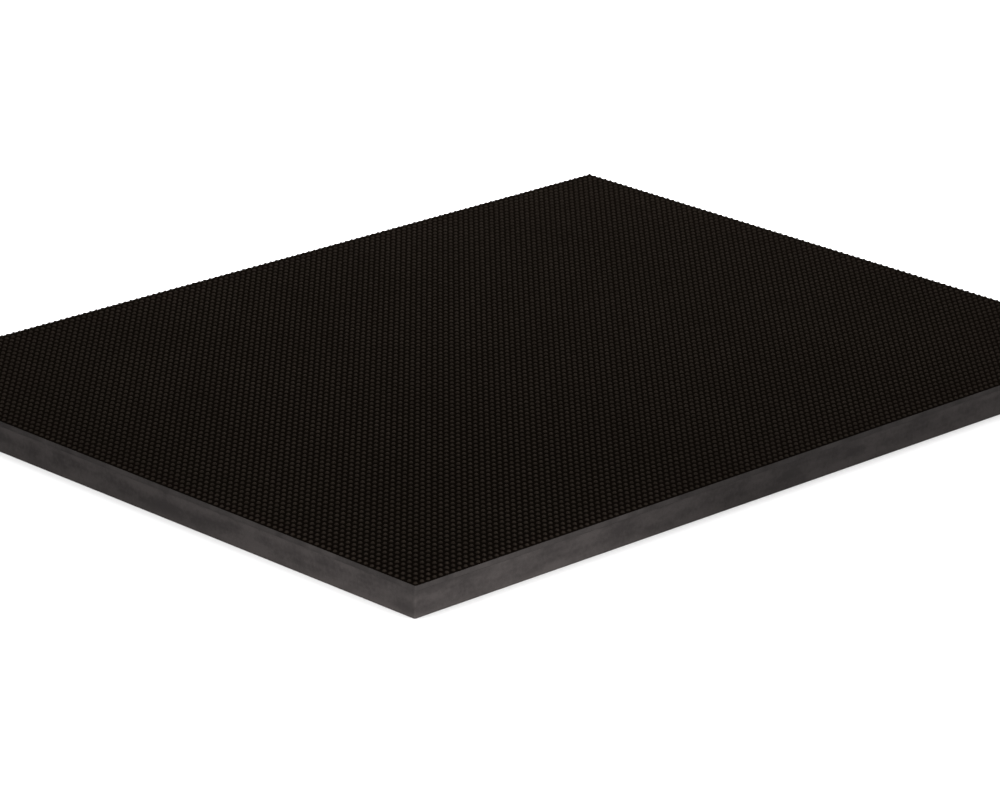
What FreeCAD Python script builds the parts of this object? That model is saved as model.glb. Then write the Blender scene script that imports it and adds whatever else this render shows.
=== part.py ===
import FreeCAD, Part
import math
import os
import Sketcher

# Laminated anti fatigue mat, cut square from flat stock.
#
# Three layers are bonded face to face. From the floor up they are a closed-cell sponge core,
# an adhesive film, and a dense wear sheet whose upper face is moulded into small round nubs.
#
# Frame: millimetres, origin at the centre of the underside, +Z up, +X along the long edges and
# +Y along the short ones.

INCH = 25.4

# alias: (value in mm, what it measures)
SIZES = {
    "mat_length": (24 * INCH, "long edges, along X"),
    "mat_width": (18 * INCH, "short edges, along Y"),
    "wall_height": (0.75 * INCH, "floor to the ground between the nubs, which is the cut edge"),
    "sheet_thickness": (0.125 * INCH, "wear sheet, without its nubs"),
    "film_thickness": (0.2, "adhesive film"),
    "corner_radius": (1.2, "vertical corners, rounded by the cutting die"),
    "film_setback": (0.2, "film edge behind the cut walls, where the layers close over it"),
    "nub_pitch": (0.1875 * INCH, "nub to nub, along both edges"),
    "nub_radius": (1.4, "foot of one nub"),
    "nub_height": (1.3, "ground to crown"),
}

# heights where the layers meet, above the floor
CORE_TOP = "Sizes.wall_height - Sizes.sheet_thickness - Sizes.film_thickness"
FILM_TOP = "Sizes.wall_height - Sizes.sheet_thickness"

# the outermost nubs stand half a pitch in from the cut edge
NUB_FIELD_INSET = "Sizes.nub_pitch / 2 - Sizes.nub_radius"

doc = FreeCAD.newDocument("anti_fatigue_mat")


def make_size_table():
    """The spreadsheet that drives every size, one row per dimension."""
    table = doc.addObject("Spreadsheet::Sheet", "Sizes")
    for row, (alias, (value, meaning)) in enumerate(SIZES.items(), start=1):
        table.set(f"A{row}", meaning)
        table.set(f"B{row}", f"{value:g}")
        table.setAlias(f"B{row}", alias)
    doc.recompute()


def origin_plane(body, role):
    """One of a body's own origin planes, found by its role."""
    for feature in body.Origin.OriginFeatures:
        if feature.Role == role:
            return feature
    raise ValueError(f"{body.Label} has no {role}")


def add_driven(sketch, kind, places, start_value, expression):
    """A dimension of the sketch whose value is an expression on the spreadsheet."""
    index = sketch.addConstraint(Sketcher.Constraint(kind, *places, start_value))
    sketch.setExpression(f"Constraints[{index}]", expression)


def add_rounded_outline(sketch, inset):
    """The mat's outline less an inset: four sides and four tangent corner arcs, centred."""
    x = SIZES["mat_length"][0] / 2
    y = SIZES["mat_width"][0] / 2
    r = SIZES["corner_radius"][0]
    up = FreeCAD.Vector(0, 0, 1)
    quarter = math.pi / 2

    # counter-clockwise: the side from one corner to the next, then that corner's arc
    side_ends = [
        ((-x + r, -y), (x - r, -y)),
        ((x, -y + r), (x, y - r)),
        ((x - r, y), (-x + r, y)),
        ((-x, y - r), (-x, -y + r)),
    ]
    arc_centres = [(x - r, -y + r), (x - r, y - r), (-x + r, y - r), (-x + r, -y + r)]

    sides = []
    for (x0, y0), (x1, y1) in side_ends:
        line = Part.LineSegment(FreeCAD.Vector(x0, y0, 0), FreeCAD.Vector(x1, y1, 0))
        sides.append(sketch.addGeometry(line, False))
    arcs = []
    for turn, (cx, cy) in enumerate(arc_centres):
        circle = Part.Circle(FreeCAD.Vector(cx, cy, 0), up, r)
        arc = Part.ArcOfCircle(circle, (turn - 1) * quarter, turn * quarter)
        arcs.append(sketch.addGeometry(arc, False))

    start, end = 1, 2
    for turn in range(4):
        following = sides[(turn + 1) % 4]
        sketch.addConstraint(Sketcher.Constraint("Tangent", sides[turn], end, arcs[turn], start))
        sketch.addConstraint(Sketcher.Constraint("Tangent", arcs[turn], end, following, start))
    front, right, back, left = sides
    sketch.addConstraint(Sketcher.Constraint("Horizontal", front))
    sketch.addConstraint(Sketcher.Constraint("Vertical", right))
    sketch.addConstraint(Sketcher.Constraint("Horizontal", back))
    sketch.addConstraint(Sketcher.Constraint("Vertical", left))
    for turn in range(3):
        sketch.addConstraint(Sketcher.Constraint("Equal", arcs[turn], arcs[turn + 1]))

    # the front and back sides start at opposite corners, so this centres the outline
    origin = (-1, 1)
    sketch.addConstraint(Sketcher.Constraint("Symmetric", front, start, back, start, *origin))

    across_x = (left, start, right, start)
    across_y = (front, start, back, start)
    add_driven(sketch, "DistanceX", across_x, 2 * x, f"Sizes.mat_length - 2 * ({inset})")
    add_driven(sketch, "DistanceY", across_y, 2 * y, f"Sizes.mat_width - 2 * ({inset})")
    add_driven(sketch, "Radius", (arcs[0],), r, f"Sizes.corner_radius - ({inset})")


def add_slab(body, name, thickness, base="0", inset="0"):
    """Adds to a body the mat's outline, less an inset, padded up from a height in that body."""
    outline = body.newObject("Sketcher::SketchObject", f"{name}_outline")
    outline.AttachmentSupport = [(origin_plane(body, "XY_Plane"), "")]
    outline.MapMode = "FlatFace"
    outline.setExpression(".AttachmentOffset.Base.z", base)
    add_rounded_outline(outline, inset)

    pad = body.newObject("PartDesign::Pad", f"{name}_pad")
    pad.Profile = outline
    pad.setExpression("Length", thickness)
    body.Tip = pad


def make_body(label, height):
    """An empty body for one layer, standing at its height above the floor."""
    body = doc.addObject("PartDesign::Body", label)
    body.Label = label
    body.setExpression(".Placement.Base.z", height)
    return body


def make_foam_core():
    """Closed-cell sponge slab. It carries the load and its underside grips the floor."""
    body = make_body("foam_core", "0")
    add_slab(body, "sponge", CORE_TOP)
    return body


def make_bond_film():
    """Adhesive between sponge and sheet, over the whole face and just short of the walls."""
    body = make_body("bond_film", CORE_TOP)
    add_slab(body, "film", "Sizes.film_thickness", inset="Sizes.film_setback")
    return body


def make_wear_sheet():
    """Dense top sheet. One plain plateau stands for its field of nubs, up to their crowns."""
    body = make_body("wear_sheet", FILM_TOP)
    add_slab(body, "sheet", "Sizes.sheet_thickness")
    add_slab(body, "nub_field", "Sizes.nub_height", "Sizes.sheet_thickness", NUB_FIELD_INSET)
    return body


def check_document():
    """Stops if any object of the document was left failed by the recompute."""
    for item in doc.Objects:
        failed = [state for state in item.State if state in ("Invalid", "Error")]
        if failed:
            raise RuntimeError(f"{item.Name}: {failed}")


def check_layer(body):
    """Stops unless a layer is one valid solid, and prints its box and volume."""
    shape = body.Shape
    if shape.isNull() or not shape.isValid() or len(shape.Solids) != 1:
        raise RuntimeError(f"{body.Label} is not one valid solid")
    box = shape.BoundBox
    print(f"{body.Label}: {box.XLength:.3f} x {box.YLength:.3f} x {box.ZLength:.3f} mm,"
          f" z {box.ZMin:.3f} to {box.ZMax:.3f}, {shape.Volume / 1000:.1f} cm3")


make_size_table()
layers = [make_foam_core(), make_bond_film(), make_wear_sheet()]
doc.recompute()
check_document()
for layer in layers:
    check_layer(layer)

os.makedirs("parts", exist_ok=True)
for layer in layers:
    layer.Shape.exportStep(f"parts/{layer.Label}.step")
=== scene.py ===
import math
import random

import bpy
from mathutils import Matrix, Vector, noise


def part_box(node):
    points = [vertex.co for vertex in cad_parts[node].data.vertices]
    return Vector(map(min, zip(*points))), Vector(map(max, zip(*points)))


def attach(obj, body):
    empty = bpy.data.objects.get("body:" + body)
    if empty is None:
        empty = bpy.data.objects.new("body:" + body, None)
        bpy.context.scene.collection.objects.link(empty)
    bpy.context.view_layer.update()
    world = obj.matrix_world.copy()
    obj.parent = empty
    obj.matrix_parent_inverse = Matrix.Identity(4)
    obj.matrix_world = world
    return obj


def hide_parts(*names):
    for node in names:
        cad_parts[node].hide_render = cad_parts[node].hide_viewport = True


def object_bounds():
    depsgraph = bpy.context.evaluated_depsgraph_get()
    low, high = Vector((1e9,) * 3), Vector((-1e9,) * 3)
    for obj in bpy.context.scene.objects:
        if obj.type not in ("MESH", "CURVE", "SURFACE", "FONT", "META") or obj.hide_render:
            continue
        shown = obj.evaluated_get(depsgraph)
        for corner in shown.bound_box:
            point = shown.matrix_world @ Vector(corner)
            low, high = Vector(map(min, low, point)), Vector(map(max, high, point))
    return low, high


# An anti fatigue mat: a black sheet moulded into thousands of small nubs, bonded to a thick
# sponge core. Everything is in metres, in the CAD model's frame: origin at the centre of the
# underside, +X along the long edges, +Z up.

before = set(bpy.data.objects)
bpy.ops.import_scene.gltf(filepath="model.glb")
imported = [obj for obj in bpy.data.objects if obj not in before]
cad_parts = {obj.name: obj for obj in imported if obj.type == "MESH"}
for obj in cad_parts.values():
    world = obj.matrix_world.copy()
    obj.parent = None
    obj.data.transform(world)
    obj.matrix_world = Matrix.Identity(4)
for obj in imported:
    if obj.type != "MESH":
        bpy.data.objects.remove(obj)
cad_low, cad_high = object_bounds()

MM = 0.001
CREASE_ANGLE = math.radians(65)

# the sheet's moulding: columns of nubs along its length, rows across its width
NUB_COLUMNS = 130
NUB_ROWS = 96
NUB_HEIGHT = 1.3 * MM
# eight, so that one vertex of a nub's foot faces each side of its cell, and one each corner
NUB_SIDES = 8
# radius and share of the height, from the foot of a nub to the shoulder under its crown
NUB_PROFILE = [(1.4 * MM, 0.0), (0.85 * MM, 0.78)]
# how far a nub is out of place, and the share by which its height and width vary
NUB_SHIFT = 0.04 * MM
NUB_SCATTER = 0.03

# the upper face's swell over the whole mat, and how far it rolls off near the cut edge
SWELL = 0.05 * MM
ROLL_OFF = 0.2 * MM
ROLL_REACH = 2.5 * MM

# the die-cut edge: its corners, and how far its lips and the sponge's walls draw in
CORNER_RADIUS = 1.2 * MM
CORNER_STEPS = 6
LIP = 0.2 * MM
SPONGE_LIP = 0.12 * MM
SPONGE_DISH = 0.4 * MM
SPONGE_LEVELS = 12

# the photograph's viewpoint
CAMERA_AIM = Vector((-0.0625, -0.0512, 0.01905))
CAMERA_DISTANCE = 2.9205
CAMERA_AZIMUTH = math.radians(-45.75)
CAMERA_ELEVATION = math.radians(19.55)
CAMERA_ROLL = math.radians(1.56)
CAMERA_LENS_MM = 179.75


# ---------------------------------------------------------------- outline and surface shape

def outline(half_length, half_width, columns, rows):
    """The mat's rounded outline, counter-clockwise from its front left corner.

    Gives one group of (x, y, outward x, outward y, lattice place) per corner arc or side.
    Lattice places count columns and rows of nub cells; the points of an arc share its corner's.
    """
    corners = [(0, 0), (columns, 0), (columns, rows), (0, rows)]
    points = []
    for turn, (i, j) in enumerate(corners):
        side_x = -half_length + 2 * half_length * i / columns
        side_y = -half_width + 2 * half_width * j / rows
        centre_x = side_x - math.copysign(CORNER_RADIUS, side_x)
        centre_y = side_y - math.copysign(CORNER_RADIUS, side_y)
        for step in range(CORNER_STEPS + 1):
            angle = math.pi + (turn + step / CORNER_STEPS) * math.pi / 2
            out = (math.cos(angle), math.sin(angle))
            x = centre_x + CORNER_RADIUS * out[0]
            y = centre_y + CORNER_RADIUS * out[1]
            points.append((x, y, *out, (i, j)))

        next_i, next_j = corners[(turn + 1) % 4]
        cells = abs(next_i - i) + abs(next_j - j)
        out = (round(math.sin(turn * math.pi / 2)), -round(math.cos(turn * math.pi / 2)))
        for cell in range(1, cells):
            column = i + (next_i - i) * cell // cells
            row = j + (next_j - j) * cell // cells
            x = -half_length + 2 * half_length * column / columns
            y = -half_width + 2 * half_width * row / rows
            points.append((x, y, *out, (column, row)))
    return points


def settle(x, y, half_length, half_width):
    """How far the soft mat's upper face lies below its highest level at a point."""
    swell = noise.noise(Vector((x * 9, y * 9, 0.5)))
    edge = min(half_length - abs(x), half_width - abs(y))
    roll = math.exp(-max(edge, 0) / ROLL_REACH)
    return SWELL * (1 + swell) + ROLL_OFF * roll


def add_wall(vertices, faces, top_loop, points, levels, shape):
    """Hangs a wall from a loop of vertices, through each level of (inset, height)."""
    above = top_loop
    for inset, height in levels:
        below = []
        for x, y, out_x, out_y, _ in points:
            drawn_in = inset + shape(x, y, height)
            below.append(len(vertices))
            vertices.append((x - out_x * drawn_in, y - out_y * drawn_in, height))
        for k in range(len(points)):
            after = (k + 1) % len(points)
            faces.append([above[k], below[k], below[after], above[after]])
        above = below
    return above


def new_piece(name, vertices, faces):
    """A mesh object, smooth except where its faces meet at more than the crease angle."""
    mesh = bpy.data.meshes.new(name)
    mesh.from_pydata(vertices, [], faces)
    mesh.polygons.foreach_set("use_smooth", [True] * len(mesh.polygons))
    mesh.set_sharp_from_angle(angle=CREASE_ANGLE)
    mesh.update()
    piece = bpy.data.objects.new(name, mesh)
    bpy.context.scene.collection.objects.link(piece)
    return piece


# ---------------------------------------------------------------- pieces

def add_nub(vertices, faces, centre, height, width, corners):
    """One rounded nub in its cell. corners are the cell's corner vertices, front left first.

    A corner is a list of vertices, because at the mat's own corners it is a whole arc.
    """
    rings = []
    for radius, share in NUB_PROFILE:
        ring = []
        for side in range(NUB_SIDES):
            angle = 2 * math.pi * side / NUB_SIDES
            x = centre.x + radius * width * math.cos(angle)
            y = centre.y + radius * width * math.sin(angle)
            ring.append(len(vertices))
            vertices.append((x, y, centre.z + share * height))
        rings.append(ring)
    crown = len(vertices)
    vertices.append((centre.x, centre.y, centre.z + height))

    # the ground round the foot: a face at each corner of the cell, then one along each side
    foot = rings[0]
    for quarter in range(4):
        corner = corners[quarter]
        next_corner = corners[(quarter + 1) % 4]
        before, diagonal, after = (foot[(4 + 2 * quarter + k) % NUB_SIDES] for k in range(3))
        faces.append([*corner, after, diagonal, before])
        faces.append([corner[-1], next_corner[0], after])
    for lower, upper in zip(rings, rings[1:]):
        for side in range(NUB_SIDES):
            after = (side + 1) % NUB_SIDES
            faces.append([lower[side], lower[after], upper[after], upper[side]])
    for side in range(NUB_SIDES):
        faces.append([rings[-1][side], rings[-1][(side + 1) % NUB_SIDES], crown])


def make_wear_sheet():
    """The dense top sheet: one closed skin with every nub moulded in its upper face."""
    low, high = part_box("wear_sheet")
    half_length, half_width = high.x, high.y
    ground = high.z - NUB_HEIGHT
    pitch_x = 2 * half_length / NUB_COLUMNS
    pitch_y = 2 * half_width / NUB_ROWS
    vertices = []
    faces = []

    # ground level, at the corners of the nubs' cells
    lattice = {}
    points = outline(half_length, half_width, NUB_COLUMNS, NUB_ROWS)
    for x, y, out_x, out_y, place in points:
        lattice.setdefault(place, []).append(len(vertices))
        z = ground - settle(x, y, half_length, half_width)
        vertices.append((x - out_x * LIP, y - out_y * LIP, z))
    rim = list(range(len(points)))
    for i in range(1, NUB_COLUMNS):
        for j in range(1, NUB_ROWS):
            x = -half_length + i * pitch_x
            y = -half_width + j * pitch_y
            lattice[i, j] = [len(vertices)]
            vertices.append((x, y, ground - settle(x, y, half_length, half_width)))

    scatter = random.Random(7)
    for i in range(NUB_COLUMNS):
        for j in range(NUB_ROWS):
            x = -half_length + (i + 0.5) * pitch_x + scatter.uniform(-1, 1) * NUB_SHIFT
            y = -half_width + (j + 0.5) * pitch_y + scatter.uniform(-1, 1) * NUB_SHIFT
            centre = Vector((x, y, ground - settle(x, y, half_length, half_width)))
            height = NUB_HEIGHT * (1 - NUB_SCATTER * scatter.random())
            width = 1 + NUB_SCATTER * scatter.uniform(-1, 1)
            corners = [lattice[i, j], lattice[i + 1, j], lattice[i + 1, j + 1], lattice[i, j + 1]]
            add_nub(vertices, faces, centre, height, width, corners)
    moulded_faces = len(faces)

    # the cut edge, from the lip that the die rounds over down to the adhesive
    levels = [
        (0.06 * MM, ground - 0.32 * MM),
        (0.0, ground - 0.6 * MM),
        (0.0, (ground + low.z) / 2),
        (0.02 * MM, low.z + 0.3 * MM),
        (0.1 * MM, low.z),
    ]
    base = add_wall(vertices, faces, rim, points, levels, cut_ripple)
    cut_faces = len(faces)
    faces.append(base[::-1])

    piece = new_piece("wear_sheet_moulded", vertices, faces)
    piece.data.materials.append(moulded_rubber())
    piece.data.materials.append(cut_rubber())
    for polygon in piece.data.polygons[moulded_faces:cut_faces + 1]:
        polygon.material_index = 1
    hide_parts("wear_sheet")
    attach(piece, "root")


def cut_ripple(x, y, z):
    """How far the die's wandering draws the cut wall in at a point, never outwards."""
    along = noise.noise(Vector((x * 14, y * 14, z * 30)))
    fine = noise.noise(Vector((x * 160, y * 160, z * 90)))
    return 0.06 * MM * (1 + along) + 0.03 * MM * (1 + fine)


def make_foam_core():
    """The sponge slab. Its cut walls dish in between the sheet above and the floor."""
    low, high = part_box("foam_core")
    half_length, half_width = high.x, high.y
    points = outline(half_length, half_width, 2 * NUB_COLUMNS, 2 * NUB_ROWS)
    depth = high.z - low.z
    edge = 0.5 * MM

    vertices = [(x - out_x * SPONGE_LIP, y - out_y * SPONGE_LIP, high.z)
                for x, y, out_x, out_y, _ in points]
    rim = list(range(len(points)))
    faces = [rim]
    levels = []
    for level in range(SPONGE_LEVELS + 1):
        share = level / SPONGE_LEVELS
        height = high.z - 0.15 * MM - share * (depth - 0.15 * MM - edge)
        levels.append((SPONGE_DISH * math.sin(math.pi * share) ** 1.5, height))
    levels.append((0.05 * MM, low.z + 0.4 * edge))
    levels.append((0.2 * MM, low.z))
    base = add_wall(vertices, faces, rim, points, levels, sponge_ripple)
    faces.append(base[::-1])

    piece = new_piece("foam_core_sponge", vertices, faces)
    piece.data.materials.append(sponge())
    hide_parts("foam_core")
    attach(piece, "root")


def sponge_ripple(x, y, z):
    """How far the sponge's uneven cells draw its cut wall in at a point."""
    slow = noise.noise(Vector((x * 22, y * 22, z * 70)))
    fine = noise.noise(Vector((x * 240, y * 240, z * 240)))
    return 0.05 * MM * (1 + slow) + 0.03 * MM * (1 + fine)


# ---------------------------------------------------------------- materials

class Nodes:
    """A material's node tree, with short calls for the few nodes that the mat needs."""

    def __init__(self, name, roughness, specular):
        self.material = bpy.data.materials.new(name)
        self.material.use_nodes = True
        self.tree = self.material.node_tree
        self.shader = self.tree.nodes["Principled BSDF"]
        self.shader.inputs["Roughness"].default_value = roughness
        self.shader.inputs["Specular IOR Level"].default_value = specular
        self.place = self.add("ShaderNodeTexCoord").outputs["Object"]

    def add(self, kind, **settings):
        node = self.tree.nodes.new(kind)
        for key, value in settings.items():
            setattr(node, key, value)
        return node

    def fill(self, socket, value):
        if isinstance(value, bpy.types.NodeSocket):
            self.tree.links.new(value, socket)
        else:
            socket.default_value = value

    def stretched(self, x, y, z):
        """Object coordinates in metres, scaled separately along each axis."""
        node = self.add("ShaderNodeMapping")
        self.fill(node.inputs["Vector"], self.place)
        node.inputs["Scale"].default_value = (x, y, z)
        return node.outputs["Vector"]

    def noise(self, place, scale, detail=2.0, roughness=0.5):
        node = self.add("ShaderNodeTexNoise")
        self.fill(node.inputs["Vector"], place)
        node.inputs["Scale"].default_value = scale
        node.inputs["Detail"].default_value = detail
        node.inputs["Roughness"].default_value = roughness
        return node.outputs["Fac"]

    def cells(self, place, scale):
        """Distance to the nearest cell centre, from 0 to about 1."""
        node = self.add("ShaderNodeTexVoronoi")
        self.fill(node.inputs["Vector"], place)
        node.inputs["Scale"].default_value = scale
        return node.outputs["Distance"]

    def remap(self, value, low, high, new_low, new_high):
        node = self.add("ShaderNodeMapRange")
        self.fill(node.inputs["Value"], value)
        for socket, number in zip(("From Min", "From Max", "To Min", "To Max"),
                                  (low, high, new_low, new_high)):
            node.inputs[socket].default_value = number
        return node.outputs["Result"]

    def maths(self, operation, first, second):
        node = self.add("ShaderNodeMath", operation=operation)
        self.fill(node.inputs[0], first)
        self.fill(node.inputs[1], second)
        return node.outputs[0]

    def tinted(self, value, dark, light):
        """A colour between two, by a value from 0 to 1."""
        node = self.add("ShaderNodeMix", data_type="RGBA")
        self.fill(node.inputs["Factor"], value)
        node.inputs[6].default_value = (*dark, 1)
        node.inputs[7].default_value = (*light, 1)
        return node.outputs[2]

    def bump(self, height, distance, strength=1.0):
        node = self.add("ShaderNodeBump")
        self.fill(node.inputs["Height"], height)
        node.inputs["Distance"].default_value = distance
        node.inputs["Strength"].default_value = strength
        self.fill(self.shader.inputs["Normal"], node.outputs["Normal"])


def moulded_rubber():
    """Matt brown-black rubber: nubs scuffed a little paler, over a nearly black ground that is
    painted shade in the valleys between them.
    """
    nodes = Nodes("moulded_rubber", 0.8, 0.004)
    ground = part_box("wear_sheet")[1].z - NUB_HEIGHT
    split = nodes.add("ShaderNodeSeparateXYZ")
    nodes.fill(split.inputs[0], nodes.place)
    # painted shade: the colour darkens from 0.3 mm above the ground down into the valleys between
    # the nubs
    above_painted_valley_shade = nodes.remap(split.outputs["Z"], ground, ground + 0.3 * MM, 0.0, 1.0)
    each_nub = nodes.remap(nodes.noise(nodes.place, 230, 1), 0.3, 0.7, 0.7, 1.0)
    patches = nodes.remap(nodes.noise(nodes.place, 14, 3), 0.3, 0.7, 0.85, 1.0)
    grain = nodes.noise(nodes.place, 1900, 2)
    scuffs = nodes.remap(grain, 0.3, 0.7, 0.75, 1.0)
    wear_and_valley_shade = nodes.maths("MULTIPLY", nodes.maths("MULTIPLY", above_painted_valley_shade, scuffs),
                       nodes.maths("MULTIPLY", each_nub, patches))
    # the dark end is painted valley shade; the pale end is the scuffed nubs' own tone
    colour = nodes.tinted(wear_and_valley_shade, (0.0019, 0.0014, 0.0010), (0.0136, 0.0105, 0.0083))
    nodes.fill(nodes.shader.inputs["Base Color"], colour)
    nodes.fill(nodes.shader.inputs["Roughness"], nodes.remap(wear_and_valley_shade, 0, 1, 0.95, 0.75))
    nodes.fill(nodes.shader.inputs["Specular IOR Level"], nodes.remap(wear_and_valley_shade, 0, 1, 0.0, 0.004))
    nodes.bump(grain, 0.04 * MM)
    return nodes.material


def cut_rubber():
    """The sheet's cut edge: greyer than its moulded face, with fine drag marks from the die."""
    nodes = Nodes("cut_rubber", 0.85, 0.08)
    drag = nodes.noise(nodes.stretched(1, 1, 0.3), 900, 3, 0.6)
    patches = nodes.noise(nodes.place, 60, 3)
    tone = nodes.maths("ADD", nodes.maths("MULTIPLY", drag, 0.25),
                       nodes.maths("MULTIPLY", patches, 0.75))
    colour = nodes.tinted(nodes.remap(tone, 0.38, 0.62, 0.0, 1.0),
                          (0.0140, 0.0122, 0.0118), (0.0238, 0.0208, 0.0201))
    nodes.fill(nodes.shader.inputs["Base Color"], colour)
    nodes.bump(drag, 0.05 * MM)
    return nodes.material


def sponge():
    """Closed-cell sponge: tiny opened cells with painted shade in them, soft mottling, and a
    lower edge made paler by painted light from the floor.
    """
    nodes = Nodes("sponge", 0.9, 0.08)
    pores = nodes.remap(nodes.cells(nodes.place, 2300), 0.1, 0.75, 0.0, 1.0)
    fleck = nodes.noise(nodes.place, 420, 3, 0.6)
    mottle = nodes.noise(nodes.stretched(1, 1, 1.8), 55, 3, 0.55)
    layers = nodes.noise(nodes.stretched(0.08, 0.08, 1), 160, 2)
    tone = nodes.maths("ADD", nodes.maths("MULTIPLY", mottle, 0.45),
                       nodes.maths("ADD", nodes.maths("MULTIPLY", layers, 0.3),
                                   nodes.maths("MULTIPLY", fleck, 0.25)))
    split = nodes.add("ShaderNodeSeparateXYZ")
    nodes.fill(split.inputs[0], nodes.place)
    # painted light: the wall is made paler over its lowest 6 mm, standing in for light thrown up
    # from the floor
    floor_bounce_paint = nodes.remap(split.outputs["Z"], 0.0, 6 * MM, 0.6, 0.0)
    mottle_and_floor_bounce = nodes.maths("ADD", nodes.remap(tone, 0.42, 0.58, 0.0, 0.8), floor_bounce_paint)
    # painted shade: each opened cell is darkened towards its centre, on top of the mottling and
    # the painted floor light
    mottle_bounce_and_pore_shade = nodes.maths("MULTIPLY", mottle_and_floor_bounce, nodes.remap(pores, 0, 1, 0.75, 1.0))
    colour = nodes.tinted(mottle_bounce_and_pore_shade, (0.0168, 0.0146, 0.0142), (0.0322, 0.0281, 0.0271))
    nodes.fill(nodes.shader.inputs["Base Color"], colour)
    nodes.bump(pores, 0.1 * MM, 0.8)
    return nodes.material


def adhesive():
    """The bond's cut edge, a thin line of smooth dark film."""
    nodes = Nodes("adhesive", 0.7, 0.1)
    streaks = nodes.noise(nodes.stretched(1, 1, 0.2), 500, 2)
    colour = nodes.tinted(streaks, (0.010, 0.0087, 0.0084), (0.019, 0.0166, 0.016))
    nodes.fill(nodes.shader.inputs["Base Color"], colour)
    nodes.bump(streaks, 0.03 * MM)
    return nodes.material


def pale_floor():
    nodes = Nodes("pale_floor", 0.9, 0.1)
    cloud = nodes.noise(nodes.place, 1.5, 2)
    colour = nodes.tinted(cloud, (0.86, 0.86, 0.86), (0.88, 0.88, 0.88))
    nodes.fill(nodes.shader.inputs["Base Color"], colour)
    return nodes.material


# ---------------------------------------------------------------- studio

def add_floor():
    half = 12
    corners = [(-half, -half, 0), (half, -half, 0), (half, half, 0), (-half, half, 0)]
    floor = new_piece("floor", corners, [[0, 1, 2, 3]])
    floor.data.materials.append(pale_floor())


def add_lamp(kind, name, place, aim, watts):
    """A lamp at a place, facing a point. The caller sets its size."""
    light = bpy.data.lights.new(name, kind)
    light.energy = watts
    lamp = bpy.data.objects.new(name, light)
    lamp.location = place
    lamp.rotation_euler = (Vector(aim) - Vector(place)).to_track_quat("-Z", "Y").to_euler()
    lamp.visible_camera = False
    bpy.context.scene.collection.objects.link(lamp)
    return light


def add_light():
    """A ceiling panel, softboxes behind, left and in front, a low spot on the near corner."""
    ceiling = add_lamp("AREA", "ceiling", (0, 0, 4), (0, 0, 0), 215)
    ceiling.size = 6

    behind = add_lamp("AREA", "behind", (0.7, 0.6, 0.75), (0.15, 0.1, 0), 18)
    behind.size = 0.6

    left = add_lamp("AREA", "left", (-2.2, 0.3, 0.7), (0, 0, 0), 14)
    left.size = 1.2

    front = add_lamp("AREA", "front", (0.6, -2.3, 0.5), (0.25, cad_low.y, 0), 12)
    front.size = 1.2

    near_corner = Vector((cad_low.x, cad_low.y, cad_high.z / 2))
    spot = add_lamp("SPOT", "corner_spot", near_corner + Vector((-0.95, -1.5, 0.05)),
                    near_corner + Vector((0.04, 0, 0)), 255)
    spot.spot_size = math.radians(10)
    spot.spot_blend = 1.0
    spot.shadow_soft_size = 0.05

    world = bpy.data.worlds.new("room")
    world.use_nodes = True
    background = world.node_tree.nodes["Background"]
    background.inputs["Color"].default_value = (1, 1, 1, 1)
    background.inputs["Strength"].default_value = 0.68
    bpy.context.scene.world = world


def add_camera():
    """Looks at the upper face from the front left, as the photograph does."""
    back = Vector((
        math.sin(CAMERA_AZIMUTH) * math.cos(CAMERA_ELEVATION),
        -math.cos(CAMERA_AZIMUTH) * math.cos(CAMERA_ELEVATION),
        math.sin(CAMERA_ELEVATION),
    ))
    lens = bpy.data.cameras.new("camera")
    lens.lens = CAMERA_LENS_MM
    lens.sensor_width = 36
    lens.clip_end = 60
    camera = bpy.data.objects.new("camera", lens)
    turn = (-back).to_track_quat("-Z", "Y").to_matrix().to_4x4()
    place = Matrix.Translation(CAMERA_AIM + back * CAMERA_DISTANCE)
    camera.matrix_world = place @ turn @ Matrix.Rotation(CAMERA_ROLL, 4, "Z")
    bpy.context.scene.collection.objects.link(camera)
    bpy.context.scene.camera = camera


make_wear_sheet()
make_foam_core()
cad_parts["bond_film"].material_slots[0].material = adhesive()
add_floor()
add_light()
add_camera()
bpy.context.scene.view_settings.view_transform = "Standard"
